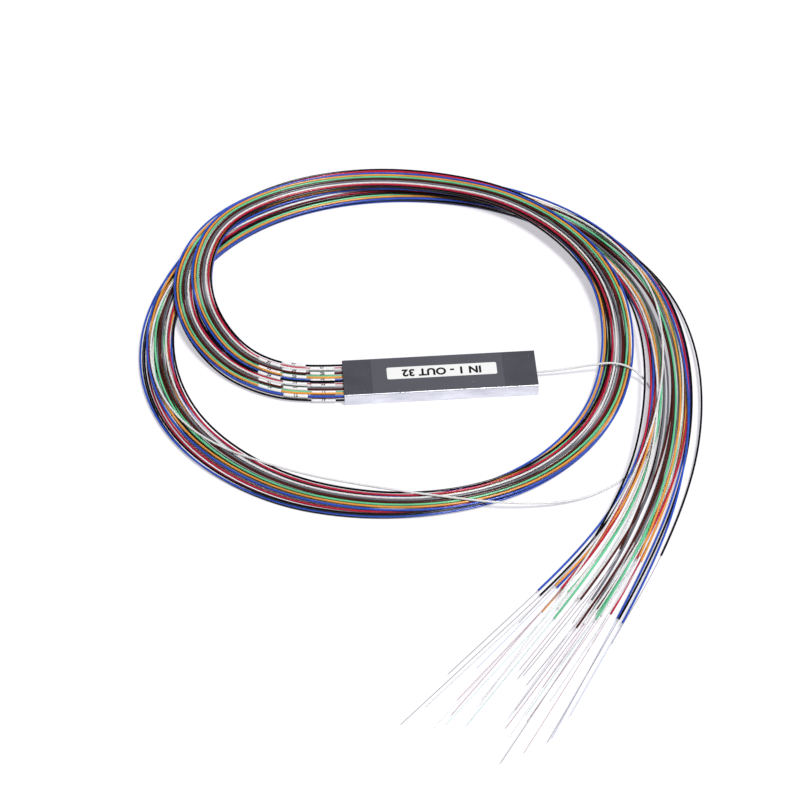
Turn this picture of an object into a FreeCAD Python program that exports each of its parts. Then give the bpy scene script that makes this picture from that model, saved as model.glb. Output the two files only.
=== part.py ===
"""Planar fibre splitter, one input to thirty-two outputs, as a parametric document.

A flat rectangular metal tube holds the splitter chip between two fibre arrays. Thirty-two loose
tubes leave its output end in two rows of sixteen, run one and a half loose turns round the housing
as one bundle and end bare. One loose tube leaves the input end, crosses the bundle and joins it.

Frame: origin under the middle of the housing, +X towards the input end, +Z up. Millimetres.
"""
import FreeCAD, Part
import Sketcher
import math
import os

from FreeCAD import Placement, Rotation, Vector

DIMENSIONS = {
    "housing_length": 80.0,
    "housing_width": 20.0,
    "housing_height": 6.0,
    "wall": 0.8,
    "outer_corner": 0.5,
    "inner_corner": 0.3,
    "seal_length": 5.0,
    "seal_recess": 0.5,
    "tube_diameter": 0.9,
    "tube_start": 30.0,
    "bore_play": 0.04,
    "slot_pitch": 1.12,
    "lower_row": 1.45,
    "row_pitch": 2.4,
    "stagger": 0.62,
    "input_height": 3.0,
    "label_length": 45.5,
    "label_width": 6.5,
    "label_thickness": 0.1,
    "label_corner": 0.8,
    "label_forward": 0.85,
    "label_aside": 1.0,
    "carrier_length": 40.0,
    "carrier_width": 8.0,
    "carrier_height": 1.1,
    "carrier_middle": 1.0,
    "chip_length": 21.0,
    "chip_width": 6.0,
    "chip_height": 1.1,
    "chip_end": -8.0,
    "array_length": 8.0,
    "array_slot_width": 5.0,
    "array_slot_height": 0.62,
    "fibre_diameter": 0.25,
    "fibre_pitch": 0.3,
    "fibre_row_pitch": 0.3,
    "fan_start": 19.0,
    "fan_end": 28.5,
    "sleeve_length": 10.0,
    "sleeve_diameter": 1.5,
    "sleeve_bore": 1.0,
    "sleeve_start": 3.4,
    "sleeve_step": 11.2,
    "sleeve_jitter": 0.25,
    "touching_pitch": 1.06,
    "layer_rise": 0.98,
}

PORTS = 32
SLOTS = 16
COLUMNS = 8
MIDDLE_SLOT = (SLOTS - 1) / 2
ARC_SHARE = 0.45

# Middle of the bundle: x, y, height of its lowest layer, loose space between neighbours.
SPINE = [
    (-30, 0, 0.5, 0.2), (-48, 0, 0.6, 0.2), (-68, 3, 1.6, 0.3), (-86.5, 16, 3.2, 0.4),
    (-99.5, 39, 5.2, 0.45), (-101, 68, 5.5, 0.4), (-88, 95, 5.5, 0.2), (-60, 111.5, 5.5, 0.12),
    (-26, 117, 5.5, 0.1), (8, 112.3, 5.5, 0.12), (41, 99, 5.5, 0.2), (66, 71, 5.5, 0.3),
    (77, 39, 4.4, 0.35), (75.5, 4, 0.9, 0.35), (62.5, -29, 0.5, 0.35), (36, -54.5, 0.5, 0.3),
    (3, -66.5, 0.5, 0.2), (-34, -66.5, 0.5, 0.2), (-71, -54.5, 0.5, 0.35), (-101, -28, 0.5, 0.5),
    (-115.5, 5, 0.5, 0.55), (-115.5, 42, 0.5, 0.45), (-101, 76, 0.5, 0.3), (-74, 100.5, 0.5, 0.2),
    (-39, 113, 0.5, 0.2), (0, 114, 0.5, 0.25), (38, 104, 0.5, 0.4), (70.3, 81.8, 0.5, 0.6),
    (91.3, 47, 0.8, 0.9), (96, 10, 2.7, 1.1), (92, -29, 2.6, 1.4), (80, -67, 1.2, 1.7),
    (61, -101.5, 0.5, 2.3), (37.3, -133.3, 0.5, 3.4),
]

# The rows of the output end turn into the bundle's layers, and then the back octets slide over
# the front ones: first point, points taken.
SETTLE_FROM, SETTLE_OVER = 2.9, 1.1
GATHER_FROM, GATHER_OVER = 4.4, 2.1

# How the loose space waxes and wanes: turn per point, per column, per layer.
SPACE_WAVES = [(0.9, 2.4, 1.7), (0.37, 5.1, 0.6)]
SPACE_SHARPNESS = 1.5

# How each layer wanders across the bundle: points per wave, phase, reach.
LAYER_SWAY = [(9.0, 0.3, 1.0), (7.4, 2.1, 1.2), (10.0, 2.51, 1.8), (10.0, 5.65, 1.8)]
SWAY_FROM, SWAY_OVER = 3.0, 4.0

# Strands that bow out of the bundle: first point, last point, reach.
STRAYS = {
    16: (15, 22, 3.6), 15: (15, 21, 2.2), 14: (15, 21, 1.4), 24: (24, 29, 2.4), 25: (24, 29, 1.4),
}
LONE_STRAND = 15
LONE_FROM, LONE_RUNS, LONE_REACH = 26.5, 3.0, 4.6

# Runs that each strand keeps past the last point but two.
STRAND_ENDS = [
    1.72, 1.58, 1.94, 1.6, 0.7, 1.85, 0.88, 1.62, 1.56, 1.9, 1.55, 0.8, 1.7, 1.64, 1.57, 0.7,
    1.6, 0.87, 1.66, 1.6, 0.88, 1.8, 1.56, 1.75, 1.66, 0.85, 1.75, 1.94, 1.57, 1.62, 1.6, 0.82,
]

# Bare fibre past each tube's end.
BARE_LENGTHS = [
    53, 76, 60, 45, 82, 57, 63, 64, 50, 69, 79, 40, 65, 58, 74, 47,
    62, 77, 55, 43, 71, 52, 67, 81, 48, 50, 76, 45, 64, 41, 73, 53, 60,
]

LONGEST_BARE = 82.0
BARE_SAG, BARE_BEND = 0.6, 0.02
SHORT_STUB = 4.0

# Number sleeves lie in ranks, and stray along the tube a little differently from slot to slot.
SLEEVE_RANKS = 3
SLEEVE_TURN = 2.1
NEARLY_STRAIGHT = 1e-4

# Input tube: out of the housing, over the inner pass, under the outer one, over the bundle again.
INPUT_START = [
    (30, 0, 3), (46, 0, 3), (62, 0.6, 5), (73, 0.8, 6), (81.5, -3.5, 4.9),
    (87, -11, 0.8), (89, -26, 0.5), (83, -44, 0.5), (70, -59, 0.5), (49, -69.5, 1.2),
    (21, -71, 4.6), (-8, -64.5, 4.6), (-36, -57, 4.5), (-64, -48, 4.5),
]
INPUT_JOINS = 19
INPUT_ASIDE = [0, 4, 3, 1, -1.5, -2, 0.5, 3, 4.5, 3, -1, -5, -9, -10, -9]
INPUT_LAYER = 4.05
INPUT_END = 1.7


def make_sheet(doc):
    sheet = doc.addObject("Spreadsheet::Sheet", "dims")
    for row, (name, number) in enumerate(DIMENSIONS.items(), start=1):
        sheet.set("A%d" % row, name)
        sheet.set("B%d" % row, str(number))
        sheet.setAlias("B%d" % row, name)
    doc.recompute()
    return sheet


def bind(item, **expressions):
    """Ties properties to formulas of the sheet; an underscore pair stands for a dot."""
    for name, formula in expressions.items():
        item.setExpression(name.replace("__", "."), formula)


def new_body(doc, name):
    body = doc.addObject("PartDesign::Body", name)
    body.Label = name
    return body


def new_sketch(body, name, role):
    sketch = body.newObject("Sketcher::SketchObject", name)
    plane = next(item for item in body.Origin.OriginFeatures if item.Role == role)
    sketch.AttachmentSupport = [(plane, "")]
    sketch.MapMode = "FlatFace"
    return sketch


def draw_rectangle(sketch, width, height, corner=None):
    """A rectangle about the sketch's origin, sizes given as formulas, corners round if asked."""
    x, y, r = 2.0, 1.5, 0.5
    lines = [
        (Vector(r - x, -y, 0), Vector(x - r, -y, 0)),
        (Vector(x, r - y, 0), Vector(x, y - r, 0)),
        (Vector(x - r, y, 0), Vector(r - x, y, 0)),
        (Vector(-x, y - r, 0), Vector(-x, r - y, 0)),
    ]
    first = sketch.addGeometry(Part.LineSegment(*lines[0]), False)
    for line in lines[1:]:
        sketch.addGeometry(Part.LineSegment(*line), False)
    bottom, right, top, left = range(first, first + 4)
    add = sketch.addConstraint
    add(Sketcher.Constraint("Horizontal", top))
    add(Sketcher.Constraint("Vertical", left))
    if corner:
        centres = [
            Vector(x - r, r - y, 0),
            Vector(x - r, y - r, 0),
            Vector(r - x, y - r, 0),
            Vector(r - x, r - y, 0),
        ]
        arcs = []
        for quarter, centre in enumerate(centres):
            start = (quarter - 1) * math.pi / 2
            circle = Part.Circle(centre, Vector(0, 0, 1), r)
            arcs.append(sketch.addGeometry(Part.ArcOfCircle(circle, start, start + math.pi / 2), False))
        for side, arc, following in zip((bottom, right, top, left), arcs, (right, top, left, bottom)):
            add(Sketcher.Constraint("Tangent", side, 2, arc, 1))
            add(Sketcher.Constraint("Tangent", arc, 2, following, 1))
        for arc in arcs[1:]:
            add(Sketcher.Constraint("Equal", arcs[0], arc))
        named(sketch, Sketcher.Constraint("Radius", arcs[0], r), "corner_%d" % first, corner)
    else:
        for side, following in ((bottom, right), (right, top), (top, left), (left, bottom)):
            add(Sketcher.Constraint("Coincident", side, 2, following, 1))
    add(Sketcher.Constraint("Symmetric", bottom, 1, bottom, 2, -2))
    add(Sketcher.Constraint("Symmetric", right, 1, right, 2, -1))
    named(sketch, Sketcher.Constraint("DistanceX", left, 1, right, 1, 2 * x), "wide_%d" % first, width)
    named(sketch, Sketcher.Constraint("DistanceY", bottom, 1, top, 2, 2 * y), "high_%d" % first, height)


def draw_circle(sketch, across, up, diameter):
    """A circle whose place and size are formulas."""
    circle = sketch.addGeometry(Part.Circle(Vector(1, 1, 0), Vector(0, 0, 1), 0.5), False)
    named(sketch, Sketcher.Constraint("DistanceX", -1, 1, circle, 3, 1), "across_%d" % circle, across)
    named(sketch, Sketcher.Constraint("DistanceY", -1, 1, circle, 3, 1), "up_%d" % circle, up)
    named(sketch, Sketcher.Constraint("Diameter", circle, 1), "diameter_%d" % circle, diameter)


def named(sketch, constraint, name, formula):
    index = sketch.addConstraint(constraint)
    sketch.renameConstraint(index, name)
    sketch.setExpression("Constraints." + name, formula)


def pad(body, sketch, name, length):
    feature = body.newObject("PartDesign::Pad", name)
    feature.Profile = sketch
    sketch.Visibility = False
    bind(feature, Length=length)
    return feature


def cut_through(body, sketch, name):
    feature = body.newObject("PartDesign::Pocket", name)
    feature.Profile = sketch
    feature.Type = "ThroughAll"
    feature.Midplane = True
    return feature


def place(item, x="0", y="0", z="0"):
    bind(item, Placement__Base__x=x, Placement__Base__y=y, Placement__Base__z=z)


def make_housing(doc):
    """A length of rectangular metal tube, open at both ends."""
    body = new_body(doc, "housing")
    section = new_sketch(body, "housing_section", "YZ_Plane")
    draw_rectangle(section, "dims.housing_width", "dims.housing_height", "dims.outer_corner")
    draw_rectangle(
        section,
        "dims.housing_width - 2 * dims.wall",
        "dims.housing_height - 2 * dims.wall",
        "dims.inner_corner",
    )
    pad(body, section, "housing_wall", "dims.housing_length")
    place(body, x="-dims.housing_length / 2", z="dims.housing_height / 2")
    return body


def seal_blank(doc, name):
    """A block of potting that fills the housing's cavity."""
    body = new_body(doc, name)
    section = new_sketch(body, name + "_section", "YZ_Plane")
    draw_rectangle(
        section,
        "dims.housing_width - 2 * dims.wall",
        "dims.housing_height - 2 * dims.wall",
        "dims.inner_corner",
    )
    pad(body, section, name + "_block", "dims.seal_length")
    return body


def make_output_seal(doc):
    """The output end's potting, bored in two rows whose holes take turns at lying higher."""
    body = seal_blank(doc, "output_seal")
    doc.recompute()
    bore = "dims.tube_diameter + dims.bore_play"
    middle = "dims.lower_row - dims.housing_height / 2"
    rows = new_sketch(body, "output_bores_first", "YZ_Plane")
    draw_circle(rows, "%g * dims.slot_pitch" % -MIDDLE_SLOT, middle, bore)
    draw_circle(rows, "%g * dims.slot_pitch" % (1 - MIDDLE_SLOT), middle + " + dims.stagger", bore)
    pocket = cut_through(body, rows, "output_bore_pair")
    doc.recompute()
    across = body.newObject("PartDesign::LinearPattern", "bores_across")
    across.Direction = (rows, ["H_Axis"])
    bind(across, Length="%d * dims.slot_pitch" % (SLOTS - 2))
    across.Occurrences = COLUMNS
    upward = body.newObject("PartDesign::LinearPattern", "bores_upward")
    upward.Direction = (rows, ["V_Axis"])
    bind(upward, Length="dims.row_pitch")
    upward.Occurrences = 2
    grid = body.newObject("PartDesign::MultiTransform", "bore_grid")
    grid.Originals = [pocket]
    grid.Transformations = [across, upward]
    body.Tip = grid
    place(body, x="-dims.housing_length / 2 + dims.seal_recess", z="dims.housing_height / 2")
    return body


def make_input_seal(doc):
    """The input end's potting, with one bore."""
    body = seal_blank(doc, "input_seal")
    doc.recompute()
    hole = new_sketch(body, "input_bore_place", "YZ_Plane")
    draw_circle(
        hole,
        "0",
        "dims.input_height - dims.housing_height / 2",
        "dims.tube_diameter + dims.bore_play",
    )
    cut_through(body, hole, "input_bore")
    place(
        body,
        x="dims.housing_length / 2 - dims.seal_recess - dims.seal_length",
        z="dims.housing_height / 2",
    )
    return body


def make_label(doc):
    """The paper label stuck on the top face."""
    body = new_body(doc, "label")
    outline = new_sketch(body, "label_outline", "XY_Plane")
    draw_rectangle(outline, "dims.label_length", "dims.label_width", "dims.label_corner")
    pad(body, outline, "label_sheet", "dims.label_thickness")
    place(body, x="dims.label_forward", y="dims.label_aside", z="dims.housing_height")
    return body


def make_block(doc, name, length, width, height, x, z):
    block = doc.addObject("Part::Box", name)
    block.Label = name
    bind(block, Length=length, Width=width, Height=height)
    place(block, x=x, y="-(%s) / 2" % width, z=z)
    return block


def make_chip(doc):
    """The carrier strip with the waveguide chip and its glass cover on it."""
    floor = "dims.wall"
    top = "dims.wall + dims.carrier_height"
    return [
        make_block(
            doc, "chip_carrier", "dims.carrier_length", "dims.carrier_width", "dims.carrier_height",
            "dims.carrier_middle - dims.carrier_length / 2", floor,
        ),
        make_block(
            doc, "splitter_chip", "dims.chip_length", "dims.chip_width", "dims.chip_height",
            "dims.chip_end", top,
        ),
        make_block(
            doc, "chip_cover", "dims.chip_length", "dims.chip_width", "dims.chip_height",
            "dims.chip_end", top + " + dims.chip_height",
        ),
    ]


def make_array(doc, name, x):
    """A block that holds fibre ends against the chip: a pad with the fibres' own channel."""
    body = new_body(doc, name)
    section = new_sketch(body, name + "_section", "YZ_Plane")
    draw_rectangle(section, "dims.chip_width", "2 * dims.chip_height")
    if name == "output_array":
        draw_rectangle(section, "dims.array_slot_width", "dims.array_slot_height")
    else:
        draw_circle(section, "0", "0", "dims.fibre_diameter + dims.bore_play")
    pad(body, section, name + "_block", "dims.array_length")
    place(body, x=x, z="dims.wall + dims.carrier_height + dims.chip_height")
    return body


def ease(share):
    """Zero to one, level at both ends."""
    share = min(max(share, 0.0), 1.0)
    return share * share * (3 - 2 * share)


def across_spine(i):
    """Unit vector to the left of the way the spine runs at its point i."""
    before, after = SPINE[max(i - 1, 0)], SPINE[min(i + 1, len(SPINE) - 1)]
    way = Vector(after[0] - before[0], after[1] - before[1], 0).normalize()
    return Vector(-way.y, way.x, 0)


def seat(strand):
    """Slot across the output end, and the row, 0 or 1.

    The lower row is numbered from the back to the front, the upper one from front to back.
    """
    if strand < SLOTS:
        return SLOTS - 1 - strand, 0
    return strand - SLOTS, 1


def outlet_height(sheet, slot, upper):
    return sheet.lower_row + upper * sheet.row_pitch + slot % 2 * sheet.stagger


def place_in_bundle(strand):
    """Layer and column in the bundle: the back half of each row lies on the front half."""
    slot, upper = seat(strand)
    return 2 * (slot // COLUMNS) + upper, slot % COLUMNS


def spacing(sheet, layer, column, i):
    """Distance from one column to the next, which differs all along the bundle."""
    waves = [math.sin(a * i + b * column + c * layer) for a, b, c in SPACE_WAVES]
    return sheet.touching_pitch + SPINE[i][3] * (sum(waves) / 2 + 1) ** SPACE_SHARPNESS


def aside_in_bundle(sheet, layer, column, i):
    """How far to the left of the spine a column of a layer lies at point i."""
    spaces = [spacing(sheet, layer, q, i) for q in range(COLUMNS - 1)]
    points_per_wave, phase, reach = LAYER_SWAY[layer]
    wave = math.sin(2 * math.pi * i / points_per_wave + phase)
    sway = ease((i - SWAY_FROM) / SWAY_OVER) * reach * wave
    return sum(spaces) / 2 - sum(spaces[:column]) + sway


def straying(strand, i):
    """Extra distance of a strand that bows out of the bundle."""
    extra = 0.0
    if strand in STRAYS:
        first, last, reach = STRAYS[strand]
        if first < i < last:
            extra += reach * math.sin(math.pi * (i - first) / (last - first)) ** 2
    if strand == LONE_STRAND:
        extra += LONE_REACH * ease((i - LONE_FROM) / LONE_RUNS)
    return extra


def cut_route(points, kept_runs):
    """Cuts a route in its last two runs: the tube's points, then the bare fibre's from the cut on."""
    whole_runs = math.ceil(kept_runs) - 1
    corner = len(points) - 2 + whole_runs
    last, end = points[corner - 1], points[corner]
    cut = last + (end - last) * (kept_runs - whole_runs)
    beyond = [point for point in points[corner:] if (point - cut).Length > SHORT_STUB]
    return points[:corner] + [cut], [cut] + beyond


def strand_route(sheet, strand):
    """Points of an output tube and of the fibre that goes on from its cut end."""
    slot, upper = seat(strand)
    layer, column = place_in_bundle(strand)
    points = []
    for i, (x, y, floor, _) in enumerate(SPINE):
        gathered = ease((i - GATHER_FROM) / GATHER_OVER)
        settled = ease((i - SETTLE_FROM) / SETTLE_OVER)
        aside = (1 - gathered) * (MIDDLE_SLOT - slot) * sheet.slot_pitch
        aside += gathered * aside_in_bundle(sheet, layer, column, i) + straying(strand, i)
        height = (1 - settled) * outlet_height(sheet, slot, upper)
        height += settled * (floor + layer * sheet.layer_rise)
        points.append(Vector(x, y, height) + across_spine(i) * aside)
    return cut_route(points, STRAND_ENDS[strand])


def input_route(sheet):
    """Points of the input tube, which joins the bundle on top of its second turn, and its fibre."""
    points = [Vector(*point) for point in INPUT_START]
    for i in range(INPUT_JOINS, len(SPINE)):
        x, y, floor, _ = SPINE[i]
        aside = INPUT_ASIDE[i - INPUT_JOINS]
        height = floor + INPUT_LAYER * sheet.layer_rise
        points.append(Vector(x, y, height) + across_spine(i) * aside)
    return cut_route(points, INPUT_END)


def arc_path(points):
    """Straight runs joined by tangent arcs as large as the runs allow, and the arcs' radii."""
    edges, radii, last = [], [], points[0]
    for before, corner, after in zip(points, points[1:], points[2:]):
        back, on = before - corner, after - corner
        shorter = min(back.Length, on.Length)
        back.normalize()
        on.normalize()
        half_turn = (math.pi - back.getAngle(on)) / 2
        reach = ARC_SHARE * shorter
        radius = reach / math.tan(half_turn)
        inward = (back + on).normalize()
        start, end = corner + back * reach, corner + on * reach
        middle = corner + inward * (math.hypot(radius, reach) - radius)
        edges.append(Part.LineSegment(last, start).toShape())
        edges.append(Part.Arc(start, middle, end).toShape())
        radii.append(radius)
        last = end
    edges.append(Part.LineSegment(last, points[-1]).toShape())
    return Part.Wire(edges), radii


def make_tube(doc, name, points):
    """A loose tube: a round section swept along its route."""
    wire, radii = arc_path(points)
    path = doc.addObject("Part::Feature", name + "_path")
    path.Shape = wire
    section = doc.addObject("Part::Circle", name + "_section")
    bind(section, Radius="dims.tube_diameter / 2")
    section.Placement = Placement(points[0], Rotation(Vector(0, 0, 1), points[1] - points[0]))
    tube = doc.addObject("Part::Sweep", name)
    tube.Label = name
    tube.Sections = [section]
    tube.Spine = (path, ["Edge%d" % (n + 1) for n in range(len(wire.Edges))])
    tube.Solid = True
    tube.Frenet = False
    return tube, wire, radii


def swept(wire, diameter):
    """A round solid along a wire of arcs and straight runs."""
    first = wire.Edges[0]
    start = first.valueAt(first.FirstParameter)
    way = first.tangentAt(first.FirstParameter)
    section = Part.Wire([Part.makeCircle(diameter / 2, start, way)])
    return wire.makePipeShell([section], True, False)


def point_along(wire, distance):
    for edge in wire.Edges:
        if distance <= edge.Length:
            return edge.valueAt(edge.getParameterByLength(distance))
        distance -= edge.Length
    raise ValueError("the wire is shorter than that")


def sleeve_begins(sheet, strand):
    """Distance from a tube's inner end to its number sleeve; neighbours differ."""
    slot, upper = seat(strand)
    rank = (slot + upper) % SLEEVE_RANKS
    inside = sheet.housing_length / 2 - sheet.tube_start
    jitter = sheet.sleeve_jitter * (1 + math.sin(SLEEVE_TURN * slot + upper))
    return inside + sheet.sleeve_start + rank * sheet.sleeve_step + jitter


def make_sleeves(doc, sheet, wires):
    """The number sleeves, one short pipe threaded on each output tube."""
    sleeves = []
    for strand, wire in enumerate(wires):
        begin = sleeve_begins(sheet, strand)
        ends = [point_along(wire, begin + sheet.sleeve_length * share) for share in (0, 0.5, 1)]
        if (ends[1] - ends[0]).getAngle(ends[2] - ends[1]) < NEARLY_STRAIGHT:
            spine = Part.Wire([Part.LineSegment(ends[0], ends[2]).toShape()])
        else:
            spine = Part.Wire([Part.Arc(*ends).toShape()])
        sleeves.append(swept(spine, sheet.sleeve_diameter).cut(swept(spine, sheet.sleeve_bore)))
    return make_group(doc, "number_sleeves", sleeves)


def make_group(doc, name, solids):
    group = doc.addObject("Part::Feature", name)
    group.Label = name
    group.Shape = Part.makeCompound([solid for shape in solids for solid in shape.Solids])
    return group


def bare_route(tube, beyond, length):
    """Points of a coated fibre that follows its tube's lane past the cut and sags at its tip."""
    way = (beyond[-1] - beyond[-2] if len(beyond) > 1 else tube[-1] - tube[-2]).normalize()
    left = length - sum((b - a).Length for a, b in zip(beyond, beyond[1:]))
    aside = Vector(way.y, -way.x, 0).normalize() * (BARE_BEND * left)
    tip = beyond[-1] + way * left + aside
    tip.z = beyond[-1].z * (1 - BARE_SAG * left / LONGEST_BARE)
    return beyond + [tip]


def make_bare_ends(doc, sheet, routes):
    fibres = []
    for (tube, beyond), length in zip(routes, BARE_LENGTHS):
        wire, _ = arc_path(bare_route(tube, beyond, length))
        fibres.append(swept(wire, sheet.fibre_diameter))
    return make_group(doc, "bare_fibre_ends", fibres)


def make_fan(doc, sheet):
    """The coated fibres from the output array to the loose tubes, spread out to the rows."""
    fibres = []
    middle = sheet.wall + sheet.carrier_height + sheet.chip_height
    for strand in range(PORTS):
        slot, upper = seat(strand)
        near = (slot - MIDDLE_SLOT) * sheet.fibre_pitch
        far = (slot - MIDDLE_SLOT) * sheet.slot_pitch
        low = middle + (upper - 0.5) * sheet.fibre_row_pitch
        high = outlet_height(sheet, slot, upper)
        points = [
            Vector(sheet.chip_end, near, low),
            Vector(-sheet.fan_start, near, low),
            Vector(-sheet.fan_end, far, high),
            Vector(-sheet.tube_start, far, high),
        ]
        fibres.append(swept(arc_path(points)[0], sheet.fibre_diameter))
    return make_group(doc, "fan_out_fibres", fibres)


def make_input_fibre(doc):
    """The bare fibre from the input tube to the chip."""
    fibre = doc.addObject("Part::Cylinder", "input_fibre")
    fibre.Label = "input_fibre"
    bind(
        fibre,
        Radius="dims.fibre_diameter / 2",
        Height="dims.tube_start - dims.chip_end - dims.chip_length",
    )
    fibre.Placement = Placement(Vector(), Rotation(Vector(0, 0, 1), Vector(1, 0, 0)))
    place(fibre, x="dims.chip_end + dims.chip_length", z="dims.input_height")
    return fibre


def check(doc, nodes):
    """Every object computed, every sub-part a valid closed shape."""
    for item in doc.Objects:
        if "Invalid" in item.State or "Error" in item.State:
            raise RuntimeError("%s is %s" % (item.Name, item.State))
    for node in nodes:
        if node.Shape.isNull() or not node.Shape.isValid() or not node.Shape.Solids:
            raise RuntimeError("%s has no valid shape" % node.Label)


def check_tube(sheet, name, tube, wire, radii):
    section = math.pi * sheet.tube_diameter ** 2 / 4
    share = tube.Shape.Volume / (section * wire.Length)
    print("%-15s length %6.1f mm, least radius %5.1f mm, volume share %.5f"
          % (name, wire.Length, min(radii), share))
    if abs(share - 1) > 1e-3:
        raise RuntimeError("%s isn't its section times its length" % name)


def main():
    doc = FreeCAD.newDocument("fibre_splitter")
    sheet = make_sheet(doc)
    nodes = [
        make_housing(doc),
        make_output_seal(doc),
        make_input_seal(doc),
        make_label(doc),
        make_array(doc, "output_array", "dims.chip_end - dims.array_length"),
        make_array(doc, "input_array", "dims.chip_end + dims.chip_length"),
        make_input_fibre(doc),
    ]
    nodes += make_chip(doc)
    routes = {"output_tube_%02d" % (n + 1): strand_route(sheet, n) for n in range(PORTS)}
    routes["input_tube"] = input_route(sheet)
    tubes = {name: make_tube(doc, name, points) for name, (points, _) in routes.items()}
    wires = [wire for _, wire, _ in tubes.values()]
    nodes += [tube for tube, _, _ in tubes.values()]
    nodes.append(make_fan(doc, sheet))
    nodes.append(make_sleeves(doc, sheet, wires[:PORTS]))
    nodes.append(make_bare_ends(doc, sheet, routes.values()))
    doc.recompute()
    check(doc, nodes)
    for name, (tube, wire, radii) in tubes.items():
        check_tube(sheet, name, tube, wire, radii)
    os.makedirs("parts", exist_ok=True)
    for node in nodes:
        node.Shape.exportStep("parts/%s.step" % node.Label)


main()
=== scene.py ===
"""Planar fibre splitter with its loose tubes, dressed for the camera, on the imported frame.

The tubes, bare fibres and number sleeves are laid anew as smooth pieces on the source's routes. The
housing, seals, label and inner pieces keep the frame's shape and get materials. Metres, except
where a name or comment says millimetres.
"""

import math

import bmesh
import bpy
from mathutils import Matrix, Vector


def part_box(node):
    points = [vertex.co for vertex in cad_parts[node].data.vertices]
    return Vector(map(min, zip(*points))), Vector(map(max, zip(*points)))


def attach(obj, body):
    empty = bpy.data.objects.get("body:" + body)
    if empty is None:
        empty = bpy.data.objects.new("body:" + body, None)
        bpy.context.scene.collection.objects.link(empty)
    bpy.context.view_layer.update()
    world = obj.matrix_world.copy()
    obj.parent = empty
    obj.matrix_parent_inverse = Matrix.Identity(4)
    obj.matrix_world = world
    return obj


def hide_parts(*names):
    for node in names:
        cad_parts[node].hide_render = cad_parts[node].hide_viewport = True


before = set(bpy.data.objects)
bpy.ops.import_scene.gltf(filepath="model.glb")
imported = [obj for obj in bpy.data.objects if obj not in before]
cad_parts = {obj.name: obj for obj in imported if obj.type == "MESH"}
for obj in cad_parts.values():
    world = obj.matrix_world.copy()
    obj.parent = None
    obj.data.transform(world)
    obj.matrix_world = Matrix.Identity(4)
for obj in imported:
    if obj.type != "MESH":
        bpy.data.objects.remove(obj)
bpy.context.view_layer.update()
MM = 0.001

# ---------------------------------------------------------------- sizes, as in the source, in mm

TUBE = 0.9
FIBRE = 0.25
HALF_LENGTH = 40.0
TUBE_START = 30.0
PORTS, SLOTS, COLUMNS = 32, 16, 8
MIDDLE_SLOT = (SLOTS - 1) / 2
SLOT_PITCH = 1.12
LOWER_ROW, ROW_PITCH, STAGGER = 1.45, 2.4, 0.62
TOUCHING_PITCH = 1.06
LAYER_RISE = 0.98
SLEEVE_LENGTH, SLEEVE_DIAMETER, SLEEVE_BORE = 10.0, 1.5, 1.0
SLEEVE_START, SLEEVE_STEP, SLEEVE_JITTER = 3.4, 11.2, 0.25
SLEEVE_RANKS, SLEEVE_TURN = 3, 2.1

# Middle of the bundle: x, y, height of its lowest layer, loose space between neighbours.
SPINE = [
    (-30, 0, 0.5, 0.2), (-48, 0, 0.6, 0.2), (-68, 3, 1.6, 0.3), (-86.5, 16, 3.2, 0.4),
    (-99.5, 39, 5.2, 0.45), (-101, 68, 5.5, 0.4), (-88, 95, 5.5, 0.2), (-60, 111.5, 5.5, 0.12),
    (-26, 117, 5.5, 0.1), (8, 112.3, 5.5, 0.12), (41, 99, 5.5, 0.2), (66, 71, 5.5, 0.3),
    (77, 39, 4.4, 0.35), (75.5, 4, 0.9, 0.35), (62.5, -29, 0.5, 0.35), (36, -54.5, 0.5, 0.3),
    (3, -66.5, 0.5, 0.2), (-34, -66.5, 0.5, 0.2), (-71, -54.5, 0.5, 0.35), (-101, -28, 0.5, 0.5),
    (-115.5, 5, 0.5, 0.55), (-115.5, 42, 0.5, 0.45), (-101, 76, 0.5, 0.3), (-74, 100.5, 0.5, 0.2),
    (-39, 113, 0.5, 0.2), (0, 114, 0.5, 0.25), (38, 104, 0.5, 0.4), (70.3, 81.8, 0.5, 0.6),
    (91.3, 47, 0.8, 0.9), (96, 10, 2.7, 1.1), (92, -29, 2.6, 1.4), (80, -67, 1.2, 1.7),
    (61, -101.5, 0.5, 2.3), (37.3, -133.3, 0.5, 3.4),
]

# The rows of the output end turn into the bundle's layers, and then the back octets slide over
# the front ones: first point, points taken.
SETTLE_FROM, SETTLE_OVER = 2.9, 1.1
GATHER_FROM, GATHER_OVER = 4.4, 2.1

# How the loose space waxes and wanes: turn per point, per column, per layer.
SPACE_WAVES = [(0.9, 2.4, 1.7), (0.37, 5.1, 0.6)]
SPACE_SHARPNESS = 1.5

# How each layer wanders across the bundle: points per wave, phase, reach.
LAYER_SWAY = [(9.0, 0.3, 1.0), (7.4, 2.1, 1.2), (10.0, 2.51, 1.8), (10.0, 5.65, 1.8)]
SWAY_FROM, SWAY_OVER = 3.0, 4.0

# Strands that bow out of the bundle: first point, last point, reach.
STRAYS = {
    16: (15, 22, 3.6), 15: (15, 21, 2.2), 14: (15, 21, 1.4), 24: (24, 29, 2.4), 25: (24, 29, 1.4),
}
LONE_STRAND = 15
LONE_FROM, LONE_RUNS, LONE_REACH = 26.5, 3.0, 4.6

# Runs that each strand keeps past the last point but two.
STRAND_ENDS = [
    1.72, 1.58, 1.94, 1.6, 0.7, 1.85, 0.88, 1.62, 1.56, 1.9, 1.55, 0.8, 1.7, 1.64, 1.57, 0.7,
    1.6, 0.87, 1.66, 1.6, 0.88, 1.8, 1.56, 1.75, 1.66, 0.85, 1.75, 1.94, 1.57, 1.62, 1.6, 0.82,
]

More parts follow.
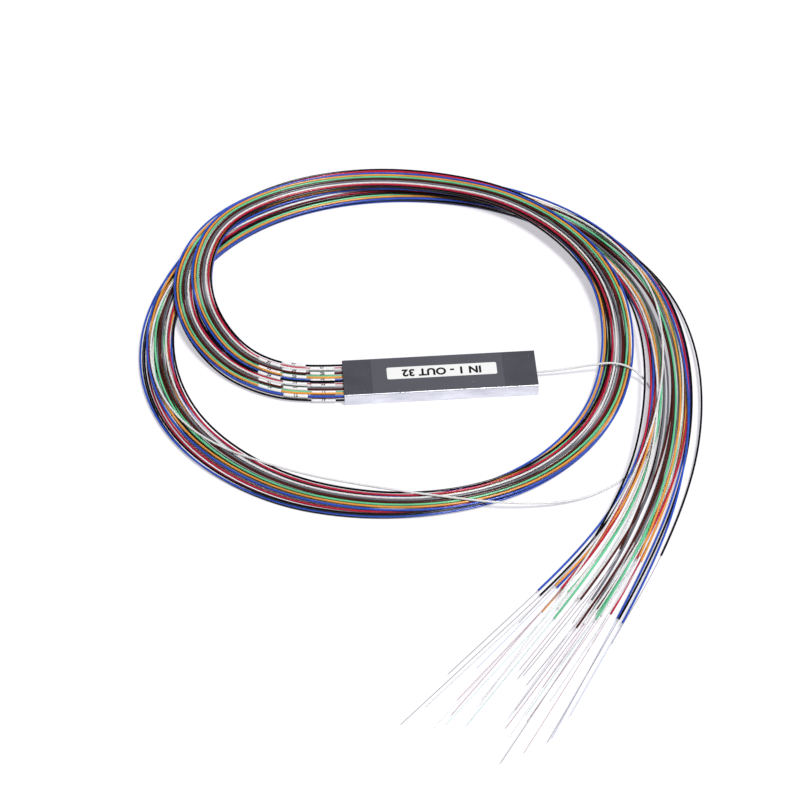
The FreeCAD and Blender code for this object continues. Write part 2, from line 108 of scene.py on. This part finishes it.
# Bare fibre past each tube's end.
BARE_LENGTHS = [
    53, 76, 60, 45, 82, 57, 63, 64, 50, 69, 79, 40, 65, 58, 74, 47,
    62, 77, 55, 43, 71, 52, 67, 81, 48, 50, 76, 45, 64, 41, 73, 53, 60,
]
LONGEST_BARE = 82.0
BARE_SAG, BARE_BEND = 0.6, 0.02
SHORT_STUB = 4.0

# Input tube: out of the housing, over the inner pass, under the outer one, over the bundle again.
INPUT_START = [
    (30, 0, 3), (46, 0, 3), (62, 0.6, 5), (73, 0.8, 6), (81.5, -3.5, 4.9),
    (87, -11, 0.8), (89, -26, 0.5), (83, -44, 0.5), (70, -59, 0.5), (49, -69.5, 1.2),
    (21, -71, 4.6), (-8, -64.5, 4.6), (-36, -57, 4.5), (-64, -48, 4.5),
]
INPUT_JOINS = 19
INPUT_ASIDE = [0, 4, 3, 1, -1.5, -2, 0.5, 3, 4.5, 3, -1, -5, -9, -10, -9]
INPUT_LAYER = 4.05
INPUT_END = 1.7

# ---------------------------------------------------------------- looks

TUBE_COLORS = {
    "blue": "3058c8", "orange": "f2a449", "green": "72d6a0", "brown": "54201a",
    "slate": "74747c", "white": "fefefe", "red": "c42844", "black": "050506",
}
WHITE_DEPTH = 0.8
FIBRE_TINTS = {
    "clear": "e4e2e8", "grey": "9b939a", "rose": "c2a0a6", "blue": "b4c6e4", "green": "bfe4da",
}
# Which of those tints each bare fibre has.
FIBRE_SLOTS = [
    1, 0, 4, 1, 1, 2, 0, 1, 3, 0, 4, 1, 0, 2, 2, 1, 3,
    0, 4, 2, 1, 0, 2, 1, 3, 0, 1, 1, 0, 2, 2, 1, 0,
]
COAT_ROUGHNESS = 0.12
PLASTIC_SPECULAR = 0.35
ROUGHNESS_SPREAD = 0.15

TUBE_RESOLUTION, TUBE_SIDES = 8, 3
FIBRE_SIDES = 2
GUIDE_RESOLUTION = 12
SLEEVE_RIM = 0.07
SLEEVE_SIDES = 28
SLEEVE_STATIONS = 10
SMOOTHING = 1.5
ROLL_REACH, ROLL_TURN, ROLL_PHASE = 0.7, 2.7, 0.4

DIGIT_SIZE, DIGIT_WEIGHT = 1.9, 0.07
DIGIT_SKIN = 0.012
DIGIT_STRIP, DIGIT_STRIPS = 0.12, 5
LABEL_TEXT = "IN 1 - OUT 32"
LABEL_TEXT_SIZE, LABEL_TEXT_WEIGHT, LABEL_TEXT_SPACING = 5.2, 0.21, 1.04
LABEL_INK_SKIN = 0.01

# Housing, in metres: how ragged the worn edges are, and the paler band round the middle of the top.
SIDE_EDGE, WORN_EDGE = 0.00034, 0.0005
RAGGED_REACH, FINE_REACH = 0.0013, 0.0003
BAND_MIDDLE, BAND_HALF_LENGTH, BAND_SHARE = -0.001, 0.0272, 0.6

# Floor, in metres: its glow is low round the object, so that a shadow shows, and white farther out.
FLOOR_REACH, FLOOR_DROP = 3.0, 0.00002
FLOOR_COLOR, FLOOR_GLOW_COLOR = (0.52, 0.52, 0.53), (0.96, 0.94, 1)
GLOW_NEAR, GLOW_FAR = 0.2, 0.8
GLOW_LOW, GLOW_HIGH = 0.55, 1.05
SKY_COLOR, SKY_LIGHT, SKY_SEEN = (0.9, 0.9, 1.0), 0.09, 1.15
LAMP_PLACE, LAMP_SIZE, LAMP_WATTS = (1.0, -1.0, 3.4), 1.2, 134

# Camera, in degrees, millimetres of lens and metres.
CAMERA_AZIMUTH, CAMERA_ELEVATION, CAMERA_REACH = -4.172, 48.102, 1.2
CAMERA_LENS, CAMERA_SENSOR = 131.06, 36
CAMERA_AIM = (-0.01715, -0.00853, 0)


# ---------------------------------------------------------------- routes

def ease(share):
    """A smooth step from 0 to 1."""
    share = min(max(share, 0.0), 1.0)
    return share * share * (3 - 2 * share)


def across_spine(i):
    """The level direction to the left of the spine at a point."""
    before, after = SPINE[max(i - 1, 0)], SPINE[min(i + 1, len(SPINE) - 1)]
    way = Vector((after[0] - before[0], after[1] - before[1], 0)).normalized()
    return Vector((-way.y, way.x, 0))


def seat(strand):
    """Slot across the output end, and the row, 0 or 1."""
    return (SLOTS - 1 - strand, 0) if strand < SLOTS else (strand - SLOTS, 1)


def aside_in_bundle(layer, column, i):
    """How far left of the spine a column of a layer lies at a point."""
    spaces = []
    for q in range(COLUMNS - 1):
        waves = [math.sin(a * i + b * q + c * layer) for a, b, c in SPACE_WAVES]
        spaces.append(TOUCHING_PITCH + SPINE[i][3] * (sum(waves) / 2 + 1) ** SPACE_SHARPNESS)
    points_per_wave, phase, reach = LAYER_SWAY[layer]
    wave = math.sin(2 * math.pi * i / points_per_wave + phase)
    sway = ease((i - SWAY_FROM) / SWAY_OVER) * reach * wave
    return sum(spaces) / 2 - sum(spaces[:column]) + sway


def straying(strand, i):
    """How far a strand bows out of its own column at a point."""
    extra = 0.0
    if strand in STRAYS:
        first, last, reach = STRAYS[strand]
        if first < i < last:
            extra += reach * math.sin(math.pi * (i - first) / (last - first)) ** 2
    if strand == LONE_STRAND:
        extra += LONE_REACH * ease((i - LONE_FROM) / LONE_RUNS)
    return extra


def cut_route(points, kept_runs):
    """Splits a route where the tube is cut: the tube's points, and the fibre's from there on."""
    whole_runs = math.ceil(kept_runs) - 1
    corner = len(points) - 2 + whole_runs
    last, end = points[corner - 1], points[corner]
    cut = last + (end - last) * (kept_runs - whole_runs)
    beyond = [point for point in points[corner:] if (point - cut).length > SHORT_STUB]
    return points[:corner] + [cut], [cut] + beyond


def strand_route(strand):
    """Points of an output tube and of the fibre that goes on from its cut end."""
    slot, upper = seat(strand)
    layer, column = 2 * (slot // COLUMNS) + upper, slot % COLUMNS
    points = []
    for i, (x, y, floor, _) in enumerate(SPINE):
        gathered = ease((i - GATHER_FROM) / GATHER_OVER)
        settled = ease((i - SETTLE_FROM) / SETTLE_OVER)
        aside = (1 - gathered) * (MIDDLE_SLOT - slot) * SLOT_PITCH
        aside += gathered * aside_in_bundle(layer, column, i) + straying(strand, i)
        height = (1 - settled) * (LOWER_ROW + upper * ROW_PITCH + slot % 2 * STAGGER)
        height += settled * (floor + layer * LAYER_RISE)
        points.append(Vector((x, y, height)) + across_spine(i) * aside)
    return cut_route(points, STRAND_ENDS[strand])


def input_route():
    """The same for the input tube."""
    points = [Vector(point) for point in INPUT_START]
    for i in range(INPUT_JOINS, len(SPINE)):
        x, y, floor, _ = SPINE[i]
        aside = INPUT_ASIDE[i - INPUT_JOINS]
        points.append(Vector((x, y, floor + INPUT_LAYER * LAYER_RISE)) + across_spine(i) * aside)
    return cut_route(points, INPUT_END)


def bare_route(tube, beyond, length):
    """Points of a coated fibre that follows its tube's lane past the cut and sags at its tip."""
    way = (beyond[-1] - beyond[-2] if len(beyond) > 1 else tube[-1] - tube[-2]).normalized()
    left = length - sum((b - a).length for a, b in zip(beyond, beyond[1:]))
    aside = Vector((way.y, -way.x, 0)).normalized() * (BARE_BEND * left)
    tip = beyond[-1] + way * left + aside
    tip.z = beyond[-1].z * (1 - BARE_SAG * left / LONGEST_BARE)
    return beyond + [tip]


# ---------------------------------------------------------------- materials

def srgb(code):
    """The linear colour of a six-digit hexadecimal one."""
    channels = [int(code[k:k + 2], 16) / 255 for k in (0, 2, 4)]
    return tuple(c / 12.92 if c <= 0.04045 else ((c + 0.055) / 1.055) ** 2.4 for c in channels)


def grey(value):
    return (value, value, value)


def shader_tree(name):
    """A new material, its node tree and its Principled shader."""
    material = bpy.data.materials.new(name)
    material.use_nodes = True
    tree = material.node_tree
    return material, tree, tree.nodes["Principled BSDF"]


def node(tree, kind, **settings):
    """A shader node, with its inputs or its own settings given by name."""
    made = tree.nodes.new("ShaderNode" + kind)
    for key, value in settings.items():
        if key in made.inputs:
            made.inputs[key].default_value = value
        else:
            setattr(made, key, value)
    return made


def noise_of(tree, scale, detail=3.0, roughness=0.55, stretch=(1, 1, 1)):
    """A noise in the object's own metres."""
    place = node(tree, "TexCoord")
    mapping = node(tree, "Mapping")
    mapping.inputs["Scale"].default_value = stretch
    made = node(tree, "TexNoise", Scale=scale, Detail=detail, Roughness=roughness)
    tree.links.new(place.outputs["Object"], mapping.inputs["Vector"])
    tree.links.new(mapping.outputs["Vector"], made.inputs["Vector"])
    return made.outputs["Fac"]


def ramp(tree, fac, stops):
    """A colour ramp over a value, from pairs of position and colour."""
    made = node(tree, "ValToRGB")
    elements = made.color_ramp.elements
    while len(elements) < len(stops):
        elements.new(0.5)
    for element, (position, color) in zip(elements, stops):
        element.position = position
        element.color = (*color, 1)
    tree.links.new(fac, made.inputs["Fac"])
    return made.outputs["Color"]


def mottle(tree, shader, color, scale, variation, edges):
    """Base colour that varies a little from place to place."""
    low = [c * (1 - variation) for c in color]
    high = [min(c * (1 + variation), 1.0) for c in color]
    stops = [(edges[0], low), (edges[1], high)]
    tree.links.new(ramp(tree, noise_of(tree, scale), stops), shader.inputs["Base Color"])


def uneven_roughness(tree, shader, roughness, scale):
    low, high = roughness * (1 - ROUGHNESS_SPREAD), roughness * (1 + ROUGHNESS_SPREAD)
    rough = ramp(tree, noise_of(tree, scale), [(0.3, grey(low)), (0.7, grey(high))])
    tree.links.new(rough, shader.inputs["Roughness"])


def bump(tree, shader, height, strength, distance):
    made = node(tree, "Bump", Strength=strength, Distance=distance)
    tree.links.new(height, made.inputs["Height"])
    tree.links.new(made.outputs["Normal"], shader.inputs["Normal"])


def plastic(name, color, roughness=0.2, coat=0.2, variation=0.12, depth=0.0):
    """Glossy extruded plastic: streaks of slightly different colour, a faintly wavy skin."""
    material, tree, shader = shader_tree(name)
    mottle(tree, shader, color, 60, variation, (0.35, 0.65))
    uneven_roughness(tree, shader, roughness, 900)
    shader.inputs["Coat Weight"].default_value = coat
    shader.inputs["Coat Roughness"].default_value = COAT_ROUGHNESS
    shader.inputs["Specular IOR Level"].default_value = PLASTIC_SPECULAR
    if depth:
        shader.inputs["Subsurface Weight"].default_value = 1.0
        shader.inputs["Subsurface Radius"].default_value = (1.0, 1.0, 1.0)
        shader.inputs["Subsurface Scale"].default_value = depth * MM
    bump(tree, shader, noise_of(tree, 500), 0.06, 0.00002)
    return material


tube_materials = {
    name: plastic("tube_" + name, srgb(code), depth=WHITE_DEPTH if name == "white" else 0.0)
    for name, code in TUBE_COLORS.items()
}


# ---------------------------------------------------------------- cords

def curve_object(name, diameter, resolution, sides):
    """A curve piece without lines yet, round in section, in millimetres."""
    data = bpy.data.curves.new(name, "CURVE")
    data.dimensions = "3D"
    data.resolution_u = resolution
    data.bevel_depth = diameter * MM / 2
    data.bevel_resolution = sides
    data.use_fill_caps = True
    piece = bpy.data.objects.new(name, data)
    bpy.context.scene.collection.objects.link(piece)
    return piece


def add_line(data, points, slot=0):
    """A smooth line of a curve piece, steered by points in millimetres."""
    spline = data.splines.new("NURBS")
    spline.points.add(len(points) - 1)
    for knot, point in zip(spline.points, points):
        knot.co = (*(point * MM), 1)
    spline.order_u = 3
    spline.use_endpoint_u = True
    spline.material_index = slot
    spline.use_smooth = True


def line_points(points):
    """Points along the smooth line that a cord follows."""
    guide = curve_object("guide", 0, GUIDE_RESOLUTION, 0)
    add_line(guide.data, points)
    mesh = bpy.data.meshes.new_from_object(guide)
    found = [v.co.copy() for v in mesh.vertices]
    bpy.data.objects.remove(guide)
    bpy.data.meshes.remove(mesh)
    return found


routes = [strand_route(strand) for strand in range(PORTS)] + [input_route()]
names = ["output_tube_%02d" % (n + 1) for n in range(PORTS)] + ["input_tube"]
color_names = [list(TUBE_COLORS)[n % len(TUBE_COLORS)] for n in range(PORTS)] + ["white"]
lines = [line_points(tube) for tube, _ in routes]

for name, color, (tube, beyond), line in zip(names, color_names, routes, lines):
    piece = curve_object(name.replace("tube", "strand"), TUBE, TUBE_RESOLUTION, TUBE_SIDES)
    add_line(piece.data, tube)
    piece.data.materials.append(tube_materials[color])
    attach(piece, "root")
    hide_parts(name)

# ---------------------------------------------------------------- bare fibres

def fibre_material(name, color):
    """Clear acrylate over glass: mostly colourless, a little tint."""
    material, tree, shader = shader_tree("fibre_" + name)
    pale = [min(c * 1.2, 1) for c in color]
    stops = [(0.3, color), (0.7, pale)]
    tree.links.new(ramp(tree, noise_of(tree, 40), stops), shader.inputs["Base Color"])
    shader.inputs["Roughness"].default_value = 0.2
    shader.inputs["Coat Weight"].default_value = 0.5
    return material


fibres = curve_object("bare_fibres", FIBRE, TUBE_RESOLUTION, FIBRE_SIDES)
for name, code in FIBRE_TINTS.items():
    fibres.data.materials.append(fibre_material(name, srgb(code)))
for (tube, beyond), length, tint in zip(routes, BARE_LENGTHS, FIBRE_SLOTS):
    add_line(fibres.data, bare_route(tube, beyond, length), tint)
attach(fibres, "root")
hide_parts("bare_fibre_ends")


# ---------------------------------------------------------------- number sleeves

def along(line, distance):
    """The point at a distance along a line."""
    for a, b in zip(line, line[1:]):
        step = (b - a).length
        if distance <= step:
            return a.lerp(b, distance / step)
        distance -= step
    return line[-1]


def on_skin(line, distance, angle, radius):
    """A point on a sleeve round a line: distance along it, angle round it, radius, in mm."""
    window = SMOOTHING * MM
    distance *= MM
    way = (along(line, distance + window) - along(line, max(distance - window, 0))).normalized()
    side = Vector((0, 0, 1)).cross(way).normalized()
    up = way.cross(side)
    outward = side * math.cos(angle) + up * math.sin(angle)
    return along(line, distance) + outward * radius * MM


def sleeve_begins(strand):
    """Where a strand's sleeve begins, in mm from the start of its tube."""
    slot, upper = seat(strand)
    rank = (slot + upper) % SLEEVE_RANKS
    jitter = SLEEVE_JITTER * (1 + math.sin(SLEEVE_TURN * slot + upper))
    return HALF_LENGTH - TUBE_START + SLEEVE_START + rank * SLEEVE_STEP + jitter


def sleeve_profile():
    """Stations of a sleeve's section, from the bore's rear rim round the outside and back."""
    outer, inner, rim = SLEEVE_DIAMETER / 2, SLEEVE_BORE / 2, SLEEVE_RIM
    near_rim = [(rim, inner), (0, inner + rim), (0, outer - rim), (rim, outer)]
    far_rim = [(SLEEVE_LENGTH - shift, radius) for shift, radius in reversed(near_rim)]
    steps = range(1, SLEEVE_STATIONS)
    return near_rim + [(SLEEVE_LENGTH * k / SLEEVE_STATIONS, outer) for k in steps] + far_rim


def add_sleeve(mesh, line, begin, roll):
    """A tube that follows a line, closed over both rims and the bore."""
    angles = [2 * math.pi * k / SLEEVE_SIDES + roll for k in range(SLEEVE_SIDES)]
    rings = []
    for shift, radius in sleeve_profile():
        rings.append([mesh.verts.new(on_skin(line, begin + shift, a, radius)) for a in angles])
    for near, far in zip(rings, rings[1:] + rings[:1]):
        for k in range(SLEEVE_SIDES):
            q = (k + 1) % SLEEVE_SIDES
            face = mesh.faces.new((near[k], near[q], far[q], far[k]))
            face.smooth = True


def text_mesh(name, body, size, weight, spacing=1.0, resolution=12):
    """Words as flat faces about the origin."""
    text = bpy.data.curves.new(name, "FONT")
    text.body = body
    text.size = size
    text.offset = weight
    text.space_character = spacing
    text.align_x, text.align_y = "CENTER", "CENTER"
    text.resolution_u = resolution
    holder = bpy.data.objects.new(name, text)
    flat = bpy.data.meshes.new_from_object(holder)
    bpy.data.objects.remove(holder)
    return flat


def digits_in_strips(number):
    """The number as flat faces, cut into narrow strips so that it can bend round a sleeve."""
    flat = text_mesh("digits", number, DIGIT_SIZE, DIGIT_WEIGHT, resolution=3)
    cut = bmesh.new()
    cut.from_mesh(flat)
    bpy.data.meshes.remove(flat)
    for k in range(-DIGIT_STRIPS, DIGIT_STRIPS + 1):
        everything = cut.verts[:] + cut.edges[:] + cut.faces[:]
        edge = (0, k * DIGIT_STRIP, 0)
        bmesh.ops.bisect_plane(cut, geom=everything, plane_co=edge, plane_no=(0, 1, 0))
    bmesh.ops.triangulate(cut, faces=cut.faces[:])
    return cut


def add_digits(mesh, number, line, middle, roll):
    """The number on a sleeve's upper side, read from its far end."""
    flat = digits_in_strips(number)
    radius = SLEEVE_DIAMETER / 2 + DIGIT_SKIN
    found = {}
    for vert in flat.verts:
        angle = math.pi / 2 + roll - vert.co.y / radius
        found[vert] = mesh.verts.new(on_skin(line, middle - vert.co.x, angle, radius))
    for face in flat.faces:
        made = mesh.faces.new([found[v] for v in face.verts])
        made.material_index = 1
        made.smooth = True
    flat.free()


sleeve_white = plastic("sleeve_white", srgb("fefefe"), 0.45, 0.0, 0.005)
ink = plastic("sleeve_ink", srgb("1b1b1e"), 0.5, 0.0, 0.05)
for strand in range(PORTS):
    name = "number_sleeve_%02d" % (strand + 1)
    begin = sleeve_begins(strand)
    roll = ROLL_REACH * math.sin(ROLL_TURN * strand + ROLL_PHASE)
    mesh = bmesh.new()
    add_sleeve(mesh, lines[strand], begin, roll)
    add_digits(mesh, str(strand + 1), lines[strand], begin + SLEEVE_LENGTH / 2, roll)
    bmesh.ops.recalc_face_normals(mesh, faces=[f for f in mesh.faces if f.material_index == 0])
    data = bpy.data.meshes.new(name)
    mesh.to_mesh(data)
    mesh.free()
    data.materials.append(sleeve_white)
    data.materials.append(ink)
    piece = bpy.data.objects.new(name, data)
    bpy.context.scene.collection.objects.link(piece)
    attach(piece, "root")
    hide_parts("number_sleeves")


# ---------------------------------------------------------------- housing

def metal_of_housing():
    """Painted dark reflection on the top and bottom, a dark satin grey in place of what the bare
    metal mirrors there; bright ground sides; and a worn bright line between them.
    """
    material, tree, shader = shader_tree("housing_metal")
    low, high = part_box("housing")
    place = node(tree, "TexCoord")
    split = node(tree, "SeparateXYZ")
    tree.links.new(place.outputs["Object"], split.inputs["Vector"])

    def maths(operation, a, b=0.0, clamp=False):
        made = node(tree, "Math", operation=operation, use_clamp=clamp)
        for socket, value in zip(made.inputs, (a, b)):
            if isinstance(value, (int, float)):
                socket.default_value = value
            else:
                tree.links.new(value, socket)
        return made.outputs[0]

    def mix(fac, a, b):
        made = node(tree, "Mix", data_type="RGBA")
        for socket, value in ((made.inputs[0], fac), (made.inputs[6], a), (made.inputs[7], b)):
            if isinstance(value, tuple):
                socket.default_value = (*value, 1)
            elif isinstance(value, (int, float)):
                socket.default_value = value
            else:
                tree.links.new(value, socket)
        return made.outputs[2]

    # how far a point is past the long edges, towards the sides
    half_width = (high.y - low.y) / 2
    inward = maths("SUBTRACT", half_width, maths("ABSOLUTE", split.outputs["Y"]))
    coarse_wear = maths("SUBTRACT", noise_of(tree, 900, 4, 0.7, (0.35, 1, 1)), 0.5)
    fine_wear = maths("SUBTRACT", noise_of(tree, 4000, 3, 0.6, (0.5, 1, 1)), 0.5)
    ragged = maths("MULTIPLY", coarse_wear, RAGGED_REACH)
    fine = maths("MULTIPLY", fine_wear, FINE_REACH)
    edge = maths("ADD", maths("ADD", inward, ragged), fine)
    side = maths("LESS_THAN", edge, SIDE_EDGE)
    patches = maths("GREATER_THAN", noise_of(tree, 1600), 0.47)
    worn = maths("MULTIPLY", maths("LESS_THAN", edge, WORN_EDGE), patches)

    # a faintly paler band round the middle of the top, and specks of dust
    middle = (low.x + high.x) / 2
    off = maths("ABSOLUTE", maths("SUBTRACT", split.outputs["X"], middle + BAND_MIDDLE))
    band = maths("LESS_THAN", off, BAND_HALF_LENGTH)
    grain = noise_of(tree, 2500, 2, 0.5, (0.05, 1, 1))
    clouds = noise_of(tree, 120, 4, 0.6)
    specks = maths("GREATER_THAN", noise_of(tree, 1100, 1, 0.5), 0.79)

    # painted reflection: the top and bottom get a dark grey base colour that stands in for the dark
    # surroundings that the bare metal mirrors there, while the sides stay bare metal
    painted_dark_reflection = ramp(tree, clouds, [(0.25, srgb("4b4c53")), (0.75, srgb("56575e"))])
    banded = mix(maths("MULTIPLY", band, BAND_SHARE), painted_dark_reflection, srgb("64656d"))
    speckled = mix(maths("MULTIPLY", specks, 0.6), banded, srgb("b9b9c4"))
    streaks = noise_of(tree, 300, 4, 0.6, (0.3, 1, 1))
    bright = ramp(tree, streaks, [(0.3, srgb("cccdd8")), (0.7, srgb("eeeff6"))])
    bare = maths("MAXIMUM", side, worn)
    tree.links.new(mix(bare, speckled, bright), shader.inputs["Base Color"])
    tree.links.new(bare, shader.inputs["Metallic"])
    rough = ramp(tree, grain, [(0.2, grey(0.36)), (0.8, grey(0.5))])
    tree.links.new(rough, shader.inputs["Roughness"])
    bump(tree, shader, grain, 0.25, 0.00003)
    return material


def cover(name, material):
    """Gives a node of the frame one material all over."""
    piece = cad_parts[name]
    piece.data.materials.clear()
    piece.data.materials.append(material)
    for face in piece.data.polygons:
        face.material_index = 0


def plain(name, color, roughness, scale, metallic=0.0, transmission=0.0, variation=0.1):
    """A material with a slight mottle."""
    material, tree, shader = shader_tree(name)
    mottle(tree, shader, color, scale, variation, (0.3, 0.7))
    shader.inputs["Metallic"].default_value = metallic
    shader.inputs["Transmission Weight"].default_value = transmission
    uneven_roughness(tree, shader, roughness, scale * 4)
    bump(tree, shader, noise_of(tree, scale * 3), 0.2, 0.00005)
    return material


cover("housing", metal_of_housing())
potting = plain("potting", srgb("17171a"), 0.35, 700)
cover("output_seal", potting)
cover("input_seal", potting)
label_white = plain("label_paper", srgb("fefefe"), 0.45, 500, variation=0.015)
cover("label", label_white)
glass = plain("array_glass", srgb("dfeaee"), 0.08, 400, transmission=0.8)
for name in ("splitter_chip", "chip_cover", "output_array", "input_array"):
    cover(name, glass)
cover("chip_carrier", plain("carrier_steel", srgb("b4b4b8"), 0.3, 600, metallic=1.0))
inner_fibre = fibre_material("inner", srgb("c9c6cc"))
cover("input_fibre", inner_fibre)
cover("fan_out_fibres", inner_fibre)

# ---------------------------------------------------------------- label's print

low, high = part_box("label")
size, weight = LABEL_TEXT_SIZE * MM, LABEL_TEXT_WEIGHT * MM
print_mesh = text_mesh("label_print", LABEL_TEXT, size, weight, LABEL_TEXT_SPACING)
label_print = bpy.data.objects.new("label_print", print_mesh)
middle = (low + high) / 2
label_print.location = (middle.x, middle.y, high.z + LABEL_INK_SKIN * MM)
label_print.rotation_euler = (0, 0, math.pi)
bpy.context.scene.collection.objects.link(label_print)
print_mesh.materials.clear()
print_mesh.materials.append(ink)
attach(label_print, "root")

# ---------------------------------------------------------------- floor, light, camera

def build_floor():
    """A white floor that shows the shadow: the light that it sends back, and a glow for the eye."""
    mesh = bpy.data.meshes.new("floor")
    r = FLOOR_REACH
    mesh.from_pydata([(-r, -r, 0), (r, -r, 0), (r, r, 0), (-r, r, 0)], [], [(0, 1, 2, 3)])
    floor = bpy.data.objects.new("floor", mesh)
    floor.location.z = -FLOOR_DROP
    bpy.context.scene.collection.objects.link(floor)

    material, tree, shader = shader_tree("floor")
    shader.inputs["Base Color"].default_value = (*FLOOR_COLOR, 1)
    shader.inputs["Roughness"].default_value = 0.9
    paths = node(tree, "LightPath")
    seen = node(tree, "Math", operation="MAXIMUM")
    tree.links.new(paths.outputs["Is Camera Ray"], seen.inputs[0])
    tree.links.new(paths.outputs["Is Glossy Ray"], seen.inputs[1])
    place = node(tree, "TexCoord")
    far = node(tree, "VectorMath", operation="LENGTH")
    tree.links.new(place.outputs["Object"], far.inputs[0])
    level = node(tree, "MapRange")
    level.inputs["From Min"].default_value = GLOW_NEAR
    level.inputs["From Max"].default_value = GLOW_FAR
    level.inputs["To Min"].default_value = GLOW_LOW
    level.inputs["To Max"].default_value = GLOW_HIGH
    tree.links.new(far.outputs["Value"], level.inputs["Value"])
    strength = node(tree, "Math", operation="MULTIPLY")
    tree.links.new(seen.outputs[0], strength.inputs[0])
    tree.links.new(level.outputs["Result"], strength.inputs[1])
    glow = node(tree, "Emission")
    glow.inputs["Color"].default_value = (*FLOOR_GLOW_COLOR, 1)
    tree.links.new(strength.outputs[0], glow.inputs["Strength"])
    both = node(tree, "AddShader")
    tree.links.new(shader.outputs[0], both.inputs[0])
    tree.links.new(glow.outputs[0], both.inputs[1])
    tree.links.new(both.outputs[0], tree.nodes["Material Output"].inputs["Surface"])
    mesh.materials.append(material)


def build_sky():
    """A weak even light, which the camera sees as white."""
    world = bpy.data.worlds.new("studio")
    bpy.context.scene.world = world
    world.use_nodes = True
    tree = world.node_tree
    sky = tree.nodes["Background"]
    sky.inputs["Color"].default_value = (*SKY_COLOR, 1)
    paths = node(tree, "LightPath")
    level = node(tree, "MapRange")
    level.inputs["To Min"].default_value = SKY_LIGHT
    level.inputs["To Max"].default_value = SKY_SEEN
    tree.links.new(paths.outputs["Is Camera Ray"], level.inputs["Value"])
    tree.links.new(level.outputs["Result"], sky.inputs["Strength"])


def build_lamp():
    """One round soft lamp, aimed at the origin."""
    data = bpy.data.lights.new("key", "AREA")
    data.shape = "DISK"
    data.size = LAMP_SIZE
    data.energy = LAMP_WATTS
    lamp = bpy.data.objects.new("key", data)
    lamp.location = LAMP_PLACE
    lamp.rotation_euler = Vector(LAMP_PLACE).to_track_quat("Z", "Y").to_euler()
    bpy.context.scene.collection.objects.link(lamp)


def build_camera():
    camera = bpy.data.objects.new("camera", bpy.data.cameras.new("camera"))
    camera.data.lens = CAMERA_LENS
    camera.data.sensor_width = CAMERA_SENSOR
    azimuth, elevation = math.radians(CAMERA_AZIMUTH), math.radians(CAMERA_ELEVATION)
    level = math.cos(elevation)
    back = Vector((math.sin(azimuth) * level, -math.cos(azimuth) * level, math.sin(elevation)))
    camera.location = Vector(CAMERA_AIM) + back * CAMERA_REACH
    camera.rotation_euler = back.to_track_quat("Z", "Y").to_euler()
    bpy.context.scene.collection.objects.link(camera)
    bpy.context.scene.camera = camera


build_floor()
build_sky()
build_lamp()
build_camera()
bpy.context.scene.view_settings.view_transform = "Standard"
